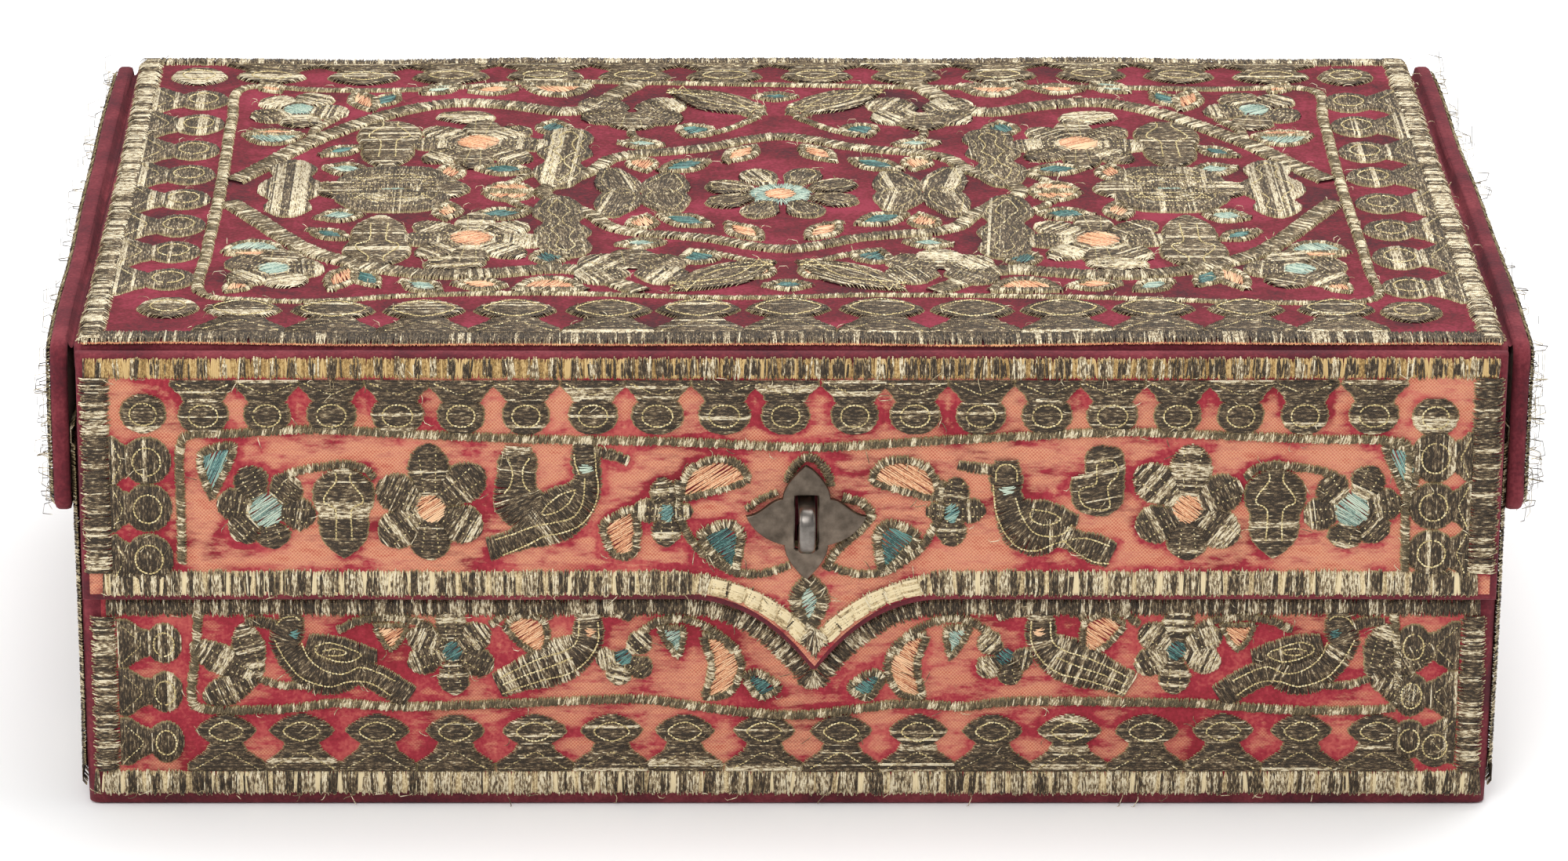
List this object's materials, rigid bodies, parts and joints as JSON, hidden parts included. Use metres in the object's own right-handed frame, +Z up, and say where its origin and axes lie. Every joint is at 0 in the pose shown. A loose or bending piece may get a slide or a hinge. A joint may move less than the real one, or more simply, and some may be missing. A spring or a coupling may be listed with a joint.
{
  "type": "embroidered velvet casket",
  "caption": "Low rectangular velvet casket with a shallow hinged lid, hanging embroidered flaps on its front and sides, and a staple that passes through the front flap's escutcheon.",
  "frame": {"origin": "middle of the underside of the case, on the surface it stands on", "axes": "+X along the casket's length to the right, +Y to the back, +Z up; the front flap and the staple face -Y"},
  "size_m": [0.3756, 0.2524, 0.1278],
  "materials": {
    "velvet": "crimson silk velvet pile",
    "worn_velvet": "velvet worn down to its ribbed coral ground",
    "metal_thread": "couched tarnished silver thread over card padding",
    "lining_cloth": "plain woven lining",
    "wood": "sawn softwood",
    "card": "thin stiff board",
    "pewter": "worn grey metal, polished at the staple"
  },
  "bodies": {
    "case": {"underside_cover": "lining_cloth", "base_board": "wood", "front_wall": "wood", "back_wall": "wood", "left_wall": "wood", "right_wall": "wood", "case_velvet": "velvet", "front_embroidery": "metal_thread", "back_embroidery": "metal_thread", "left_embroidery": "metal_thread", "right_embroidery": "metal_thread", "floor_lining": "lining_cloth", "front_lining": "lining_cloth", "back_lining": "lining_cloth", "left_lining": "lining_cloth", "right_lining": "lining_cloth", "staple": "pewter", "staple_back_plate": "pewter"},
    "lid": {"lid_board": "wood", "lid_front_rail": "wood", "lid_back_rail": "wood", "lid_left_rail": "wood", "lid_right_rail": "wood", "lid_velvet": "velvet", "lid_embroidery": "metal_thread", "lid_lining": "lining_cloth", "back_hinge_cloth": "velvet", "front_hinge_cloth": "velvet", "left_hinge_cloth": "velvet", "right_hinge_cloth": "velvet"},
    "front_flap": {"front_flap_board": "card", "front_flap_velvet": "worn_velvet", "front_flap_embroidery": "metal_thread", "front_flap_lining": "lining_cloth", "escutcheon": "pewter"},
    "left_flap": {"left_flap_board": "card", "left_flap_velvet": "velvet", "left_flap_embroidery": "metal_thread", "left_flap_lining": "lining_cloth"},
    "right_flap": {"right_flap_board": "card", "right_flap_velvet": "velvet", "right_flap_embroidery": "metal_thread", "right_flap_lining": "lining_cloth"}
  },
  "joints": [
    {"name": "lid_hinge", "type": "hinge", "parent": "case", "child": "lid", "pos_m": [0, 0.11705, 0.10715], "axis": [-1, 0, 0], "range_deg": [0, 105], "deforming": ["back_hinge_cloth"]},
    {"name": "front_flap_hinge", "type": "hinge", "parent": "lid", "child": "front_flap", "pos_m": [0, -0.11737, 0.1264], "axis": [-1, 0, 0], "range_deg": [0, 150], "deforming": ["front_hinge_cloth"]},
    {"name": "left_flap_hinge", "type": "hinge", "parent": "lid", "child": "left_flap", "pos_m": [-0.18102, 0, 0.1264], "axis": [0, 1, 0], "range_deg": [0, 90], "deforming": ["left_hinge_cloth"]},
    {"name": "right_flap_hinge", "type": "hinge", "parent": "lid", "child": "right_flap", "pos_m": [0.18102, 0, 0.1264], "axis": [0, -1, 0], "range_deg": [0, 90], "deforming": ["right_hinge_cloth"]}
  ]
}
